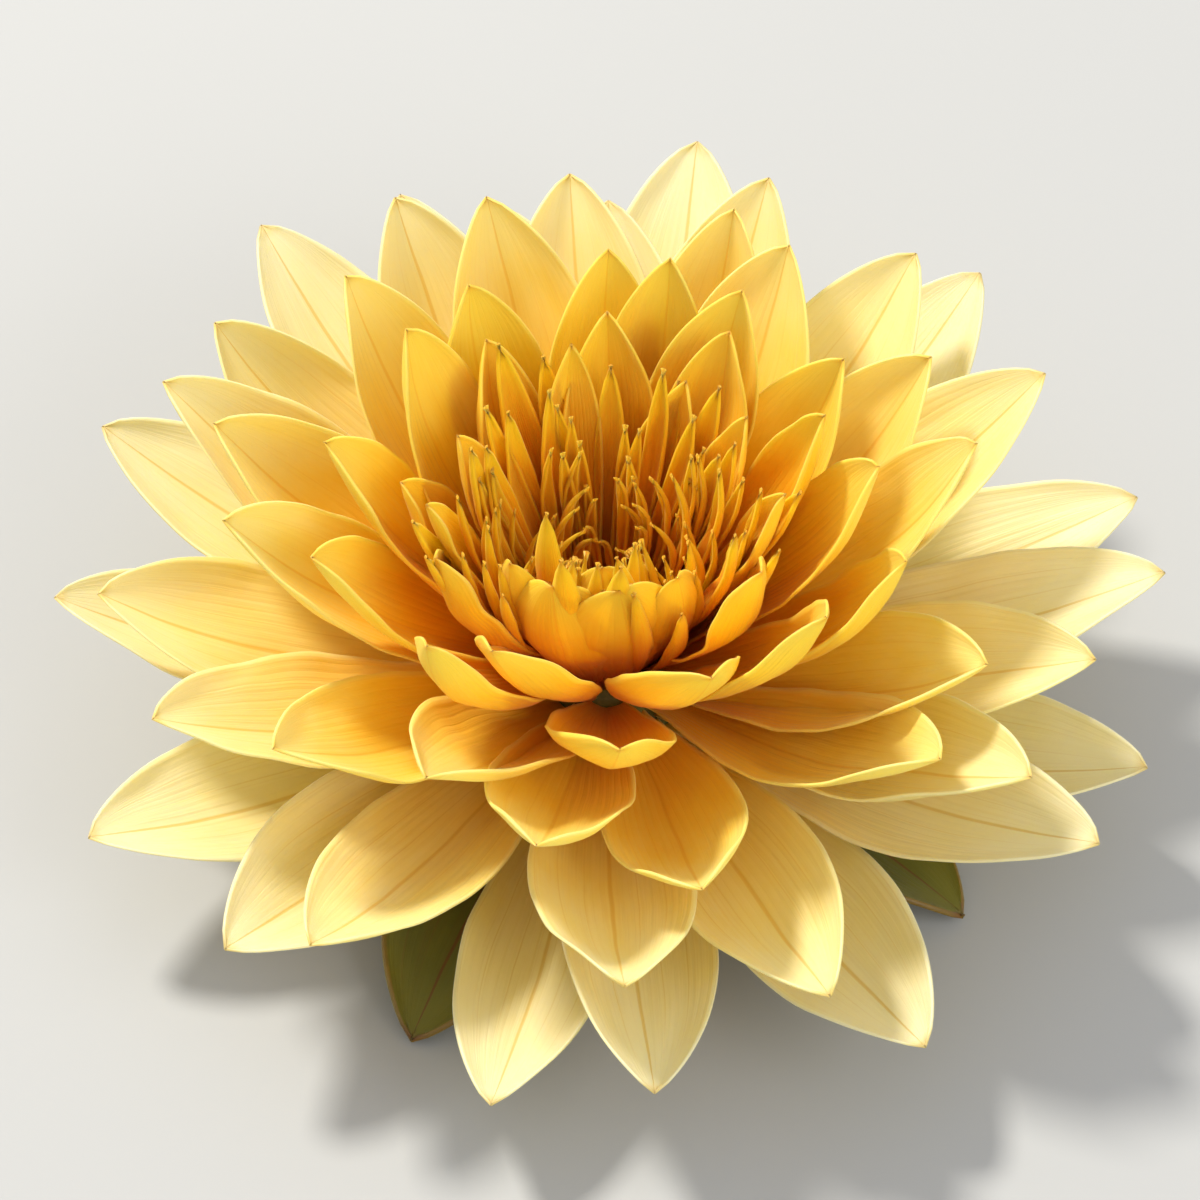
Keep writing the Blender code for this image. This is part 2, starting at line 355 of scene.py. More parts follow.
def grown_clear(name, values, rng, lift):
    """Tries a few bends of a petal and keeps the one that cuts least into those in place.

    Its tip may rise or fall by lift, in millimetres.
    """
    kept, kept_blade, kept_cuts = None, None, 0
    for attempt in range(TRIES):
        trial = dict(values)
        if attempt > 0:
            trial["Roll"] = math.radians(rng.uniform(-MOST_ROLL, MOST_ROLL))
            trial["Side Bend"] = rng.uniform(-MOST_SIDE_BEND, MOST_SIDE_BEND) * MM
            trial["Sag"] = values["Sag"] * rng.uniform(LEAST_SAG, MOST_SAG)
            tip_height = values["Tip Height"] + rng.uniform(-lift, lift) * MM
            trial["Tip Height"] = min(tip_height, HIGHEST_TIP)
        petal = grown(name, petal_tree, trial)
        blade = blade_past_crowd(petal)
        cuts = sum(len(blade.overlap(other)) for other in placed_blades)
        if kept is None or cuts < kept_cuts:
            petal, kept = kept, petal
            kept_blade, kept_cuts = blade, cuts
        if petal is not None:
            spare = petal.data
            bpy.data.objects.remove(petal)
            bpy.data.meshes.remove(spare)
        if kept_cuts == 0:
            break
    kept.name = name
    kept.data.name = name
    placed_blades.append(kept_blade)
    return kept


# Petal skin: cells in fine rows from foot to tip. It is golden at the foot, paler at the tip,
# with parallel veins, a light margin and a satin surface.
def shader_inputs(group, inputs, outputs):
    for label, kind, value in inputs:
        socket = group.interface.new_socket(label, in_out="INPUT", socket_type=kind)
        socket.default_value = value
    for label, kind in outputs:
        group.interface.new_socket(label, in_out="OUTPUT", socket_type=kind)


class Skin:
    """Adds shader nodes to a group or a material and links them as they are made."""

    def __init__(self, tree):
        self.tree = tree

    def node(self, kind, settings=None, links=None):
        node = self.tree.nodes.new(kind)
        for key, value in (settings or {}).items():
            setattr(node, key, value)
        for key, value in (links or {}).items():
            self.feed(node.inputs[key], value)
        return node

    def feed(self, socket, value):
        if isinstance(value, bpy.types.NodeSocket):
            self.tree.links.new(value, socket)
        else:
            socket.default_value = value

    def maths(self, operation, first, second=0.0, third=0.0):
        return self.node(
            "ShaderNodeMath", {"operation": operation}, {0: first, 1: second, 2: third}
        ).outputs[0]

    def blend(self, factor, first, second, mode="MIX"):
        node = self.node("ShaderNodeMix", {"data_type": "RGBA", "blend_type": mode})
        self.feed(node.inputs[0], factor)
        self.feed(node.inputs[6], first)
        self.feed(node.inputs[7], second)
        return node.outputs[2]

    def step(self, value, low, high, to_low=0.0, to_high=1.0):
        node = self.node("ShaderNodeMapRange", {"interpolation_type": "SMOOTHSTEP"})
        for socket, given in zip(node.inputs, (value, low, high, to_low, to_high)):
            self.feed(socket, given)
        return node.outputs[0]

    def noise(self, vector, scale, detail=2.0, roughness=0.5):
        node = self.node("ShaderNodeTexNoise", {"noise_dimensions": "3D"}, {"Vector": vector})
        node.inputs["Scale"].default_value = scale
        node.inputs["Detail"].default_value = detail
        node.inputs["Roughness"].default_value = roughness
        return node.outputs["Fac"]

    def vector(self, x, y, z):
        return self.node("ShaderNodeCombineXYZ", None, {0: x, 1: y, 2: z}).outputs[0]


COLOUR = "NodeSocketColor"
VEIN_WANDER = 0.10
SIDE_VEIN_SPACING = 3.2
SIDE_VEIN_SHARE = 0.50
STREAKS_ACROSS = 34.0
STREAK_SHARE = 0.26
MIDRIB_SHARE = 0.95
MOTTLE_SPREAD = 0.35
MARGIN_SHARE = 0.45
TIP_POINT_SHARE = 0.6
RIBS_ACROSS = 9.0


def build_petal_skin():
    group = bpy.data.node_groups.new("petal_skin", "ShaderNodeTree")
    shader_inputs(
        group,
        (
            ("Foot Colour", COLOUR, (0.9, 0.4, 0.02, 1.0)),
            ("Body Colour", COLOUR, (0.9, 0.6, 0.2, 1.0)),
            ("Tip Colour", COLOUR, (0.9, 0.7, 0.3, 1.0)),
            ("Vein Colour", COLOUR, (0.6, 0.3, 0.05, 1.0)),
            ("Margin Colour", COLOUR, (1.0, 0.85, 0.5, 1.0)),
            ("Outer Tint", COLOUR, (0.9, 0.9, 0.6, 1.0)),
            ("Vein Strength", FLOAT, 0.5), ("Foot Reach", FLOAT, 0.4),
        ),
        (("Colour", COLOUR), ("Roughness", FLOAT), ("Height", FLOAT)),
    )
    s = Skin(group)
    given = s.node("NodeGroupInput").outputs
    result = s.node("NodeGroupOutput").inputs
    place = s.node("ShaderNodeAttribute", {"attribute_name": "petal_place"}).outputs["Vector"]
    inner = s.node("ShaderNodeAttribute", {"attribute_name": "petal_inner"}).outputs["Fac"]
    split = s.node("ShaderNodeSeparateXYZ", None, {0: place})
    v, u, seed = split.outputs[0], split.outputs[1], split.outputs[2]

    bend = s.noise(s.vector(s.maths("MULTIPLY", v, 1.3), s.maths("MULTIPLY", u, 3.0), seed), 1.0)
    v_bent = s.maths("ADD", v, s.maths("MULTIPLY", s.maths("SUBTRACT", bend, 0.5), VEIN_WANDER))
    midrib = s.step(s.maths("ABSOLUTE", v_bent), 0.010, 0.040, 1.0, 0.0)
    side = s.maths("SINE", s.maths("MULTIPLY", v_bent, math.pi * SIDE_VEIN_SPACING))
    side = s.step(s.maths("ABSOLUTE", side), 0.0, 0.13, 1.0, 0.0)
    streak_v = s.maths("MULTIPLY", v_bent, STREAKS_ACROSS)
    streaks = s.noise(s.vector(streak_v, s.maths("MULTIPLY", u, 2.2), seed), 1.0, 3.0, 0.6)
    fine = s.step(streaks, 0.50, 0.72)
    fade = s.step(u, 0.55, 1.0, 1.0, 0.25)
    start = s.step(u, 0.02, 0.25, 0.3, 1.0)
    side = s.maths("MULTIPLY", side, SIDE_VEIN_SHARE)
    vein = s.maths("ADD", side, s.maths("MULTIPLY", fine, STREAK_SHARE))
    vein = s.maths("MULTIPLY", vein, fade)
    vein = s.maths("MAXIMUM", vein, s.maths("MULTIPLY", midrib, MIDRIB_SHARE))
    vein = s.maths("MULTIPLY", vein, start)

    mottle = s.noise(
        s.vector(s.maths("MULTIPLY", v, 2.0), s.maths("MULTIPLY", u, 4.5), seed), 1.2, 3.0
    )
    spread = s.maths("MULTIPLY", s.maths("SUBTRACT", mottle, 0.5), MOTTLE_SPREAD)
    u_mixed = s.maths("ADD", u, spread)
    reach = given["Foot Reach"]
    foot = s.step(u_mixed, 0.02, reach, 1.0, 0.0)
    tip = s.step(u_mixed, 0.45, 1.0)
    colour = s.blend(foot, given["Body Colour"], given["Foot Colour"])
    colour = s.blend(tip, colour, given["Tip Colour"])
    tinted = s.blend(0.75, colour, given["Outer Tint"], "MULTIPLY")
    colour = s.blend(inner, tinted, colour)
    strength = s.maths("MULTIPLY", vein, given["Vein Strength"])
    colour = s.blend(strength, colour, given["Vein Colour"])
    rim = s.step(s.maths("ABSOLUTE", v), 0.90, 0.99)
    colour = s.blend(s.maths("MULTIPLY", rim, MARGIN_SHARE), colour, given["Margin Colour"])
    point = s.step(u, 0.965, 1.0)
    colour = s.blend(s.maths("MULTIPLY", point, TIP_POINT_SHARE), colour, given["Vein Colour"])
    group.links.new(colour, result["Colour"])

    fleck = s.noise(s.vector(s.maths("MULTIPLY", v, 14.0), s.maths("MULTIPLY", u, 40.0), seed), 1.0)
    rough = s.maths("MULTIPLY_ADD", fleck, 0.22, 0.36)
    group.links.new(rough, result["Roughness"])
    ribs = s.maths("SINE", s.maths("MULTIPLY", v_bent, math.pi * RIBS_ACROSS))
    ribs = s.maths("ABSOLUTE", ribs)
    height = s.maths("MULTIPLY_ADD", s.maths("MULTIPLY", ribs, fade), 0.5, 0.0)
    height = s.maths("MULTIPLY_ADD", streaks, 0.8, height)
    height = s.maths("MULTIPLY_ADD", fleck, 0.12, height)
    group.links.new(height, result["Height"])
    return group


petal_skin = build_petal_skin()


def petal_material(name, foot, body, tip, vein, margin, outer, vein_strength, foot_reach):
    material = bpy.data.materials.new(name)
    material.use_nodes = True
    s = Skin(material.node_tree)
    shader = material.node_tree.nodes["Principled BSDF"]
    skin = s.node("ShaderNodeGroup", {"node_tree": petal_skin})
    values = {
        "Foot Colour": (*foot, 1.0), "Body Colour": (*body, 1.0), "Tip Colour": (*tip, 1.0),
        "Vein Colour": (*vein, 1.0), "Margin Colour": (*margin, 1.0),
        "Outer Tint": (*outer, 1.0), "Vein Strength": vein_strength, "Foot Reach": foot_reach,
    }
    for label, value in values.items():
        skin.inputs[label].default_value = value
    bump = s.node("ShaderNodeBump", None, {"Height": skin.outputs["Height"]})
    bump.inputs["Strength"].default_value = 0.5
    bump.inputs["Distance"].default_value = 0.00025
    s.feed(shader.inputs["Base Color"], skin.outputs["Colour"])
    s.feed(shader.inputs["Roughness"], skin.outputs["Roughness"])
    s.feed(shader.inputs["Normal"], bump.outputs[0])
    shader.inputs["Subsurface Weight"].default_value = 0.45
    shader.inputs["Subsurface Radius"].default_value = (1.0, 0.8, 0.3)
    shader.inputs["Subsurface Scale"].default_value = 0.0035
    shader.inputs["Sheen Weight"].default_value = 0.06
    shader.inputs["Sheen Roughness"].default_value = 0.4
    return material


# Outer petals: fifty-one, in four whorls on the side of the receptacle. Each grows from its
# own foot, so it takes its direction, foot and tip from the frame's solid that it replaces.
def foot_and_tip(node_name):
    """Direction round the stem, then radius and height of the foot and of the tip."""
    mesh = nodes[node_name].data
    points = np.empty(len(mesh.vertices) * 3)
    mesh.vertices.foreach_get("co", points)
    points = points.reshape(-1, 3)
    radii = np.hypot(points[:, 0], points[:, 1])
    foot = points[radii < radii.min() + 1.2 * MM].mean(axis=0)
    tip = points[np.argmax(np.linalg.norm(points - foot, axis=1))]
    azimuth = math.atan2(tip[0], -tip[1])
    return azimuth, (math.hypot(*foot[:2]), foot[2]), (math.hypot(*tip[:2]), tip[2])


FOOT_IN_STEM = 1.6 * MM
LIFT = 3.0
PETAL_ROLL = 6.0
PETAL_SIDE_BEND = 3.0
PETAL_GROOVE = 0.35
PETAL_THICKNESS = 0.40
PETAL_FOOT_SHARE = 0.30
WHORL_LOOKS = {
    "petal_outer": {
        "half_width": 13.0, "sag": 0.05, "cup": 0.62, "hood": 0.4, "ripple": 1.0,
        "slot": "petal_pale",
        "skin": dict(
            foot=(0.94, 0.53, 0.04), body=(0.93, 0.70, 0.25), tip=(0.95, 0.79, 0.43),
            vein=(0.70, 0.36, 0.03), margin=(0.98, 0.86, 0.45), outer=(0.90, 0.92, 0.60),
            vein_strength=0.62, foot_reach=0.55,
        ),
    },
    "petal_second": {
        "half_width": 13.0, "sag": 0.06, "cup": 0.72, "hood": 0.4, "ripple": 0.9,
        "slot": "petal_pale",
        "skin": dict(
            foot=(0.95, 0.47, 0.016), body=(0.96, 0.68, 0.17), tip=(0.97, 0.78, 0.36),
            vein=(0.76, 0.36, 0.015), margin=(0.99, 0.84, 0.34), outer=(0.92, 0.93, 0.55),
            vein_strength=0.58, foot_reach=0.65,
        ),
    },
    "petal_third": {
        "half_width": 12.2, "sag": 0.08, "cup": 0.80, "hood": 0.4, "ripple": 0.8,
        "slot": "petal_yellow",
        "skin": dict(
            foot=(0.95, 0.40, 0.005), body=(0.97, 0.60, 0.05), tip=(0.98, 0.74, 0.23),
            vein=(0.82, 0.36, 0.006), margin=(1.0, 0.80, 0.20), outer=(0.94, 0.94, 0.52),
            vein_strength=0.50, foot_reach=0.75,
        ),
    },
    "petal_fourth": {
        "half_width": 10.6, "sag": 0.09, "cup": 0.88, "hood": 0.4, "ripple": 0.7,
        "slot": "petal_gold",
        "skin": dict(
            foot=(0.93, 0.30, 0.002), body=(0.97, 0.51, 0.010), tip=(0.98, 0.66, 0.10),
            vein=(0.84, 0.30, 0.003), margin=(1.0, 0.74, 0.10), outer=(0.96, 0.94, 0.50),
            vein_strength=0.34, foot_reach=0.8,
        ),
    },
}


def petal_values(azimuth, foot, tip, looks, material, rng):
    return {
        "Azimuth": azimuth, "Foot Radius": foot[0] - FOOT_IN_STEM, "Foot Height": foot[1],
        "Tip Radius": tip[0], "Tip Height": tip[1],
        "Half Width": looks["half_width"] * MM * rng.uniform(0.92, 1.05),
        "Foot Share": PETAL_FOOT_SHARE, "Sag": looks["sag"] * rng.uniform(0.8, 1.25),
        "Cup": looks["cup"] * rng.uniform(0.85, 1.15), "Hood": looks["hood"],
        "Ripple": looks["ripple"] * MM,
        "Roll": math.radians(rng.uniform(-PETAL_ROLL, PETAL_ROLL)),
        "Side Bend": rng.uniform(-PETAL_SIDE_BEND, PETAL_SIDE_BEND) * MM,
        "Groove": PETAL_GROOVE * MM, "Thickness": PETAL_THICKNESS * MM,
        "Seed": rng.uniform(0.0, 40.0), "Material": material,
    }


def add_whorl(prefix, looks, seed):
    rng = np.random.default_rng(seed)
    material = petal_material(prefix, **looks["skin"])
    for node_name in sorted(name for name in nodes if name.startswith(prefix)):
        azimuth, foot, tip = foot_and_tip(node_name)
        values = petal_values(azimuth, foot, tip, looks, material, rng)
        petal = grown_clear(node_name.replace("petal", "bloom"), values, rng, LIFT)
        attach(petal, "root")
        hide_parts(node_name)
    return material


whorl_materials = {}
for seed, (prefix, looks) in enumerate(WHORL_LOOKS.items(), start=3):
    whorl_materials[prefix] = add_whorl(prefix, looks, seed)

# Petals past the frame's own: two in the outer whorl at the back, two in the third whorl and
# five in the fourth. They grow from the receptacle's side as their neighbours do. Each row
# holds a name, a whorl, a direction, the foot's height, the elevation and the length.
EXTRA_PETALS = (
    ("bloom_outer_16", "petal_outer", -168, 14.5, 20.0, 76.0),
    ("bloom_outer_17", "petal_outer", 178, 14.5, 19.0, 76.0),
    ("bloom_third_13", "petal_third", 48, 19.0, 27.0, 71.0),
    ("bloom_third_14", "petal_third", -28, 19.5, 31.0, 62.0),
    ("bloom_fourth_11", "petal_fourth", -95, 22.0, 47.0, 60.0),
    ("bloom_fourth_12", "petal_fourth", 22, 22.5, 46.0, 55.0),
    ("bloom_fourth_13", "petal_fourth", -22, 22.5, 47.0, 53.0),
    ("bloom_fourth_14", "petal_fourth", 165, 22.5, 55.0, 61.0),
    ("bloom_fourth_15", "petal_fourth", -150, 22.5, 55.0, 61.0),
)
STEM_FOOT_RADIUS = 12.0


def add_extra_petals():
    rng = np.random.default_rng(21)
    for name, prefix, azimuth, height, elevation, length in EXTRA_PETALS:
        looks = WHORL_LOOKS[prefix]
        rise = math.radians(elevation)
        tip = (length * math.cos(rise) * MM, (height + length * math.sin(rise)) * MM)
        foot = (STEM_FOOT_RADIUS * MM, height * MM)
        values = petal_values(
            math.radians(azimuth), foot, tip, looks, whorl_materials[prefix], rng
        )
        petal = grown_clear(name, values, rng, LIFT)
        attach(petal, "root")


add_extra_petals()


# Inner petals: small, deep golden and upright, nine to a row in two rows round the stamens.
# They stand for the frame's joined ring. The front ones are broader and stand straighter.
FRONT_LEAN = math.radians(6.0)
FRONT_RISE = math.radians(16.0)
FRONT_SHORTER = 0.12
FRONT_BROADER = 0.30
INNER_COUNT = 9
INNER_ROWS = (
    dict(first=-21.0, radius=10.6, height=24.5, length=46.0, elevation=61.0,
         half_width=8.6, sag=0.09, cup=1.0, hood=0.3, ripple=0.9),
    dict(first=-2.0, radius=9.6, height=25.0, length=41.0, elevation=66.0,
         half_width=6.0, sag=0.08, cup=1.0, hood=0.6, ripple=0.6),
)
INNER_SKIN = dict(
    foot=(0.90, 0.22, 0.001), body=(0.97, 0.45, 0.004), tip=(0.98, 0.61, 0.05),
    vein=(0.84, 0.26, 0.002), margin=(1.0, 0.70, 0.08), outer=(0.97, 0.94, 0.50),
    vein_strength=0.32, foot_reach=0.8,
)


def add_inner_petals():
    rng = np.random.default_rng(9)
    material = petal_material("petals_inner", **INNER_SKIN)
    for row_number, row in enumerate(INNER_ROWS, start=1):
        for index in range(INNER_COUNT):
            azimuth = math.radians(row["first"] + index * 360.0 / INNER_COUNT)
            azimuth += math.radians(rng.uniform(-6.0, 6.0))
            to_front = max(math.cos(azimuth), 0.0)
            rise = math.radians(row["elevation"]) - FRONT_LEAN * min(math.cos(azimuth), 0.0)
            rise += FRONT_RISE * to_front ** 2
            length = row["length"] * rng.uniform(0.88, 1.05) * (1.0 - FRONT_SHORTER * to_front)
            foot = (row["radius"] * MM, row["height"] * MM)
            tip = (
                (row["radius"] + length * math.cos(rise)) * MM,
                (row["height"] + length * math.sin(rise)) * MM,
            )
            values = petal_values(azimuth, foot, tip, row, material, rng)
            values["Half Width"] *= 1.0 + FRONT_BROADER * to_front
            petal = grown_clear(f"bloom_inner_{row_number}_{index + 1}", values, rng, LIFT)
            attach(petal, "root")
            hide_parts("petals_inner")


add_inner_petals()


# Stamens: a hundred and forty-two flat straps with yellow tips, in five rows. The outer ones
# are as broad as small petals and lean out; the inner ones are short and curl over the ovary.
STAMEN_INPUTS = (
    ("Count", WHOLE, 24), ("Ring Radius", FLOAT, 0.008), ("Foot Height", FLOAT, 0.025),
    ("Length", FLOAT, 0.03), ("Elevation", FLOAT, 1.3), ("Half Width", FLOAT, 0.0015),
    ("Sag", FLOAT, 0.1), ("Cup", FLOAT, 1.0), ("Lean", FLOAT, 0.1), ("Spread", FLOAT, 0.15),
    ("Front Rise", FLOAT, 0.0), ("Thickness", FLOAT, 0.0005), ("Seed", WHOLE, 1),
    ("Material", "NodeSocketMaterial", None),
)


def build_stamen_tree():
    t = Tree("stamen_row", STAMEN_INPUTS)
    given = t.inputs
    strap = t.node("GeometryNodeGroup", {"node_tree": petal_tree})
    values = {
        "Azimuth": -math.pi, "Foot Radius": 0.0, "Foot Height": 0.0, "Foot Share": 0.55,
        "Hood": 0.4, "Ripple": 0.0005, "Roll": 0.0, "Side Bend": 0.0, "Groove": 0.0002,
        "Rows": 14, "Columns": 6,
        "Tip Radius": t.times(given["Length"], t.maths("COSINE", given["Elevation"])),
        "Tip Height": t.times(given["Length"], t.maths("SINE", given["Elevation"])),
    }
    for label in ("Half Width", "Sag", "Cup", "Thickness", "Material"):
        values[label] = given[label]
    for label, value in values.items():
        t.feed(strap.inputs[label], value)
    ring = t.node("GeometryNodeMeshCircle")
    t.feed(ring.inputs["Vertices"], given["Count"])
    t.feed(ring.inputs["Radius"], given["Ring Radius"])
    position = t.node("GeometryNodeInputPosition").outputs[0]
    split = t.node("ShaderNodeSeparateXYZ", _0=position)
    facing = t.less(t.maths("ARCTAN2", split.outputs[1], split.outputs[0]), math.pi / 2.0)

    def chance(low, high, step):
        node = t.node("FunctionNodeRandomValue", {"data_type": "FLOAT"})
        t.feed(node.inputs[2], low)
        t.feed(node.inputs[3], high)
        t.feed(node.inputs["Seed"], t.add(given["Seed"], float(step)))
        return node.outputs[1]

    shift = t.vector(chance(-0.0007, 0.0007, 1), chance(-0.0007, 0.0007, 2), 0.0)
    stirred = t.node("GeometryNodeSetPosition", _0=ring.outputs[0])
    t.feed(stirred.inputs["Offset"], shift)
    to_front = t.maths("DIVIDE", t.times(split.outputs[1], -1.0), given["Ring Radius"])
    to_front = t.maths("MAXIMUM", to_front, 0.0)
    tip_out = t.times(given["Spread"], chance(-1.0, 1.0, 3))
    tip_out = t.add(tip_out, t.times(to_front, to_front, given["Front Rise"]))
    tip_side = t.times(given["Spread"], chance(-1.0, 1.0, 4))
    rotation = t.vector(tip_out, tip_side, facing)
    placed = t.node("GeometryNodeInstanceOnPoints", _0=stirred.outputs[0])
    t.feed(placed.inputs["Instance"], strap.outputs[0])
    t.feed(placed.inputs["Rotation"], rotation)
    size = chance(0.82, 1.12, 5)
    t.feed(placed.inputs["Scale"], t.vector(size, size, size))
    real = t.node("GeometryNodeRealizeInstances", _0=placed.outputs[0])
    raised = t.node("GeometryNodeSetPosition", _0=real.outputs[0])
    leaned = t.turned(t.node("GeometryNodeInputPosition").outputs[0], "X_AXIS", given["Lean"])
    t.feed(raised.inputs["Position"], leaned)
    t.feed(raised.inputs["Offset"], t.vector(0.0, 0.0, given["Foot Height"]))
    done = t.node("GeometryNodeSetMaterial", _0=raised.outputs[0])
    t.feed(done.inputs["Material"], given["Material"])
    t.tree.links.new(done.outputs[0], t.output)
    return t.tree


STAMEN_SKIN = dict(
    foot=(0.62, 0.11, 0.001), body=(0.98, 0.34, 0.002), tip=(1.0, 0.61, 0.018),
    vein=(0.86, 0.20, 0.001), margin=(1.0, 0.58, 0.02), outer=(0.99, 0.94, 0.6),
    vein_strength=0.25, foot_reach=0.6,
)
STAMEN_FOOT_HEIGHT = 24.8
STAMEN_SPREAD = 0.13
STAMEN_THICKNESS = 0.5
STAMEN_ROWS = (
    dict(name="stamens_broad", node="stamens_outer", count=24, radius=8.8, length=41.0,
         elevation=68.0, half_width=2.9, sag=0.07, cup=0.9, front_rise=0.34),
    dict(name="stamens_long", node="stamens_outer", count=30, radius=8.3, length=38.0,
         elevation=73.0, half_width=2.0, sag=0.08, cup=1.1, front_rise=0.26),
    dict(name="stamens_middle", node="stamens_outer", count=32, radius=7.6, length=33.0,
         elevation=78.0, half_width=1.6, sag=0.11, cup=1.3, front_rise=0.20),
    dict(name="stamens_short", node="stamens_inner", count=30, radius=7.0, length=28.0,
         elevation=85.0, half_width=1.3, sag=0.14, cup=1.4, front_rise=0.10),
    dict(name="stamens_curled", node="stamens_inner", count=26, radius=6.4, length=23.0,
         elevation=93.0, half_width=1.1, sag=0.16, cup=1.4, front_rise=0.05),
)


def add_stamens():
    tree = build_stamen_tree()
    material = petal_material("stamens", **STAMEN_SKIN)
    for seed, row in enumerate(STAMEN_ROWS, start=1):
        values = {
            "Count": row["count"], "Ring Radius": row["radius"] * MM,
            "Foot Height": STAMEN_FOOT_HEIGHT * MM, "Length": row["length"] * MM,
            "Elevation": math.radians(row["elevation"]), "Half Width": row["half_width"] * MM,
            "Sag": row["sag"], "Cup": row["cup"], "Lean": FRONT_LEAN, "Spread": STAMEN_SPREAD,
            "Front Rise": row["front_rise"], "Thickness": STAMEN_THICKNESS * MM,
            "Seed": seed * 10, "Material": material,
        }
        stamens = grown(row["name"], tree, values)
        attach(stamens, "root")
        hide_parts(row["node"])


add_stamens()


# Sepals: four leathery green blades under the petals, browned along their veins and edges.
# They arch over and rest on the surface with their tips. Towards the tips the green turns lighter
# and yellower, a painted highlight.
SEPAL_THICKNESS = 0.8
SEPAL_LOOKS = {
    "half_width": 12.6, "sag": -0.07, "cup": 0.5, "hood": 0.6, "ripple": 0.5,
}
SEPAL_SKIN_AND_TIP_HIGHLIGHT = dict(
    # The tip colour is a lighter yellow-green: a painted highlight towards the sepal tips.
    foot=(0.16, 0.17, 0.02), body=(0.10, 0.105, 0.010), tip=(0.17, 0.16, 0.012),
    vein=(0.16, 0.035, 0.006), margin=(0.24, 0.075, 0.012), outer=(0.9, 0.9, 0.8),
    vein_strength=0.75, foot_reach=0.4,
)


def add_sepals():
    rng = np.random.default_rng(5)
    material = petal_material("sepals", **SEPAL_SKIN_AND_TIP_HIGHLIGHT)
    for node_name in sorted(name for name in nodes if name.startswith("sepal")):
        azimuth, foot, tip = foot_and_tip(node_name)
        values = petal_values(azimuth, foot, tip, SEPAL_LOOKS, material, rng)
        values["Thickness"] = SEPAL_THICKNESS * MM
        sepal = grown_clear(node_name.replace("sepal", "calyx"), values, rng, 0.0)
        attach(sepal, "root")
        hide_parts(node_name)


add_sepals()

# Ovary: a rayed disc in the middle of the stamens, dished and waxy, with a small knob at its
# centre. It grows out of the receptacle's flat top.
OVARY_PROFILE = (
    (0.0, 29.5), (0.7, 29.4), (1.2, 28.9), (1.4, 28.2), (2.2, 27.9), (3.4, 28.0), (4.4, 28.7),
    (5.1, 29.5), (5.5, 29.5), (5.7, 28.9), (5.6, 26.8), (5.0, 25.2), (4.4, 24.2), (0.0, 24.2),
)
OVARY_RAYS = 16
RAY_HEIGHT = 0.35
RAY_REACH = 0.15


def turned_piece(name, profile, steps, shift):
    """A closed turned solid; shift moves each point outwards and up, given its angle."""
    bm = bmesh.new()
    verts = [bm.verts.new((radius * MM, 0.0, height * MM)) for radius, height in profile]
    edges = [bm.edges.new(pair) for pair in zip(verts, verts[1:])]
    bmesh.ops.spin(
        bm, geom=verts + edges, cent=(0, 0, 0), axis=(0, 0, 1),
        steps=steps, angle=math.tau, use_merge=True,
    )
    bmesh.ops.remove_doubles(bm, verts=bm.verts, dist=0.01 * MM)
    for vert in bm.verts:
        radius = math.hypot(vert.co.x, vert.co.y) / MM
        outwards, up = shift(math.atan2(vert.co.y, vert.co.x), radius, vert.co.z / MM)
        if radius > 0.0:
            vert.co.x *= 1.0 + outwards / radius
            vert.co.y *= 1.0 + outwards / radius
        vert.co.z += up * MM
    bmesh.ops.recalc_face_normals(bm, faces=bm.faces)
    mesh = bpy.data.meshes.new(name)
    bm.to_mesh(mesh)
    bm.free()
    mesh.shade_smooth()
    piece = bpy.data.objects.new(name, mesh)
    bpy.context.scene.collection.objects.link(piece)
    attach(piece, "root")
    return piece


def ovary_shift(angle, radius, height):
    ray = math.cos(OVARY_RAYS * angle)
    on_disc = height > 27.0 and radius > 1.5
    return (RAY_REACH * ray if radius > 4.0 else 0.0), (RAY_HEIGHT * ray if on_disc else 0.0)


def mottled_material(name, dark, light, scale, roughness, height):
    """Colour that wanders between two tones, with a fine uneven surface."""
    material = bpy.data.materials.new(name)
    material.use_nodes = True
    s = Skin(material.node_tree)
    shader = material.node_tree.nodes["Principled BSDF"]
    place = s.node("ShaderNodeTexCoord").outputs["Object"]
    cloud = s.noise(place, scale, 4.0, 0.6)
    colour = s.blend(s.step(cloud, 0.35, 0.65), (*dark, 1.0), (*light, 1.0))
    grain = s.noise(place, scale * 9.0, 3.0, 0.6)
    bump = s.node("ShaderNodeBump", None, {"Height": s.maths("ADD", cloud, grain)})
    bump.inputs["Strength"].default_value = 0.5
    bump.inputs["Distance"].default_value = height
    s.feed(shader.inputs["Base Color"], colour)
    s.feed(shader.inputs["Roughness"], s.maths("MULTIPLY_ADD", grain, 0.25, roughness))
    s.feed(shader.inputs["Normal"], bump.outputs[0])
    return material


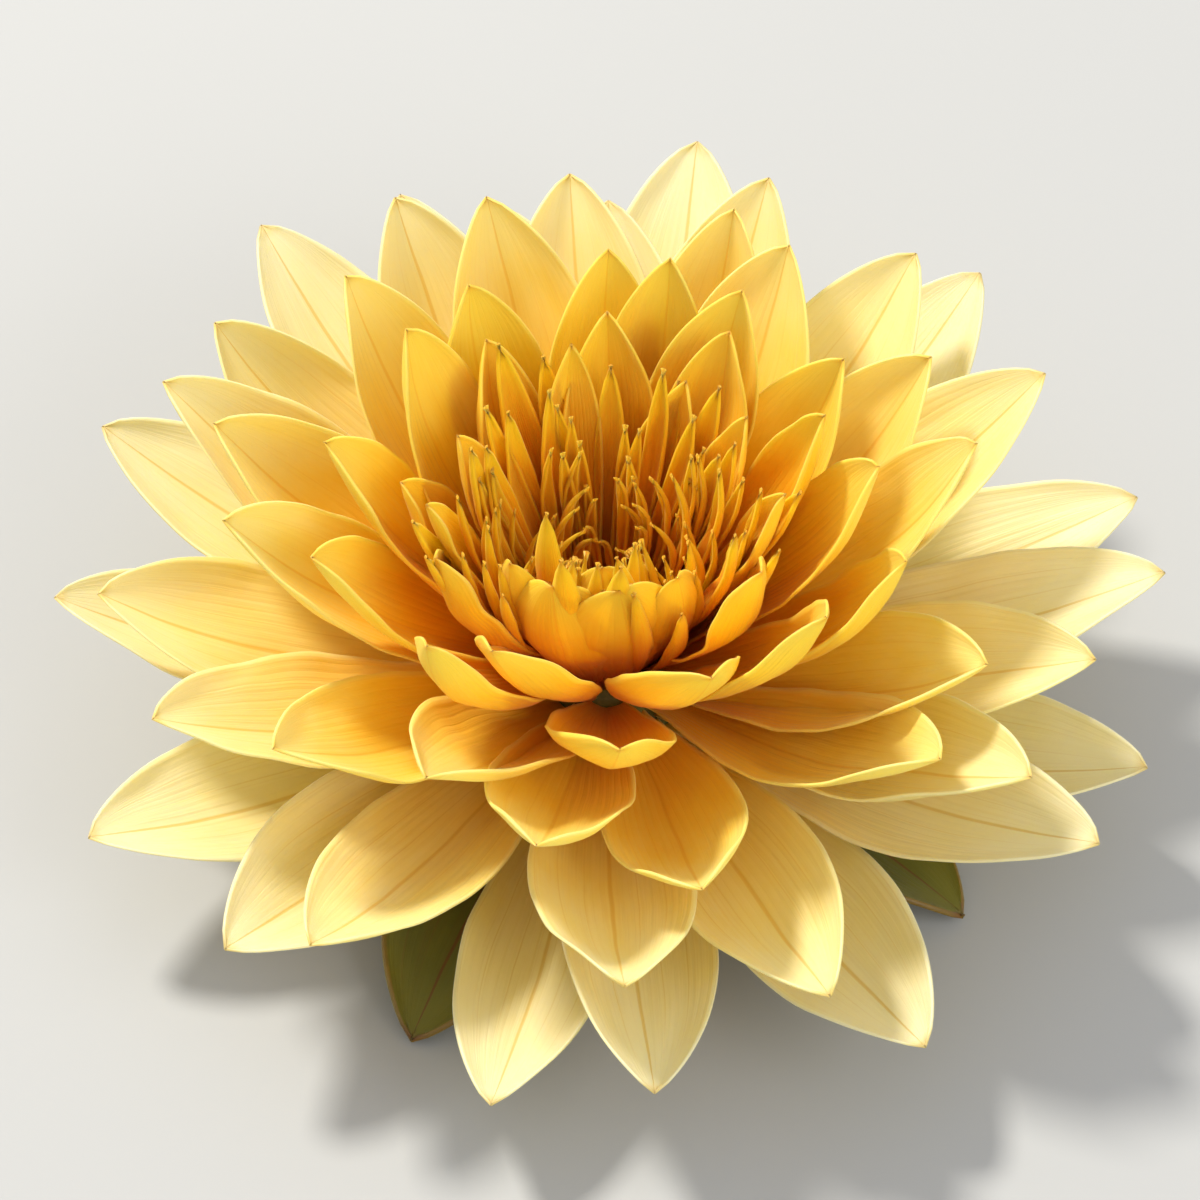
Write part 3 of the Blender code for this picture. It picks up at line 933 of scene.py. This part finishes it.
def add_ovary():
    ovary = turned_piece("stigma_disc", OVARY_PROFILE, 96, ovary_shift)
    ovary.data.materials.append(
        mottled_material("ovary", (0.62, 0.20, 0.004), (0.92, 0.48, 0.02), 350.0, 0.32, 0.0003)
    )
    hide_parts("ovary")


add_ovary()


# Stem: the receptacle that carries every petal, and a short stub cut square below it. It is
# smooth and green with a brown tinge. At the cut, the stem's air canals are dark spots of painted
# shade.
STEM_PROFILE = (
    (0.0, 24.0), (10.2, 24.0), (10.6, 23.6), (11.1, 21.5), (11.7, 18.0), (12.0, 15.0),
    (12.0, 12.0), (11.6, 10.6), (11.0, 9.5), (9.9, 7.8), (8.6, 6.5), (7.2, 5.5), (6.2, 4.8),
    (5.5, 4.0), (5.2, 3.2), (5.05, 1.5), (4.9, 0.15), (4.75, 0.0), (0.0, 0.0),
)


SCAR_DEPTH = 0.18
SCAR_COLUMNS = 9.0
SCAR_PITCH = 1.4


def stem_shift(angle, radius, height):
    scars = SCAR_DEPTH * math.sin(SCAR_COLUMNS * angle + height) * math.sin(height * SCAR_PITCH)
    return (scars if 4.0 < height < 23.0 and radius > 5.0 else 0.0), 0.0


def stem_material():
    material = mottled_material(
        "stem", (0.14, 0.15, 0.025), (0.26, 0.25, 0.05), 160.0, 0.38, 0.0004
    )
    s = Skin(material.node_tree)
    shader = material.node_tree.nodes["Principled BSDF"]
    skin = shader.inputs["Base Color"].links[0].from_socket
    place = s.node("ShaderNodeTexCoord").outputs["Object"]
    split = s.node("ShaderNodeSeparateXYZ", None, {0: place})
    cells = s.node("ShaderNodeTexVoronoi", {"voronoi_dimensions": "3D"}, {"Vector": place})
    cells.inputs["Scale"].default_value = 520.0
    # Air canals at the cut are not modelled as holes: near-black spots of painted shade stand for
    # the shade inside them.
    canal_shade_mask = s.step(cells.outputs["Distance"], 0.20, 0.32)
    flesh_and_painted_canal_shade = s.blend(canal_shade_mask, (0.03, 0.035, 0.01, 1.0), (0.45, 0.48, 0.22, 1.0))
    at_cut = s.step(split.outputs[2], 0.00002, 0.0001, 1.0, 0.0)
    s.feed(shader.inputs["Base Color"], s.blend(at_cut, skin, flesh_and_painted_canal_shade))
    return material


def add_stem():
    stem = turned_piece("receptacle_and_stem", STEM_PROFILE, 72, stem_shift)
    stem.data.materials.append(stem_material())
    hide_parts("flower_stem")


add_stem()
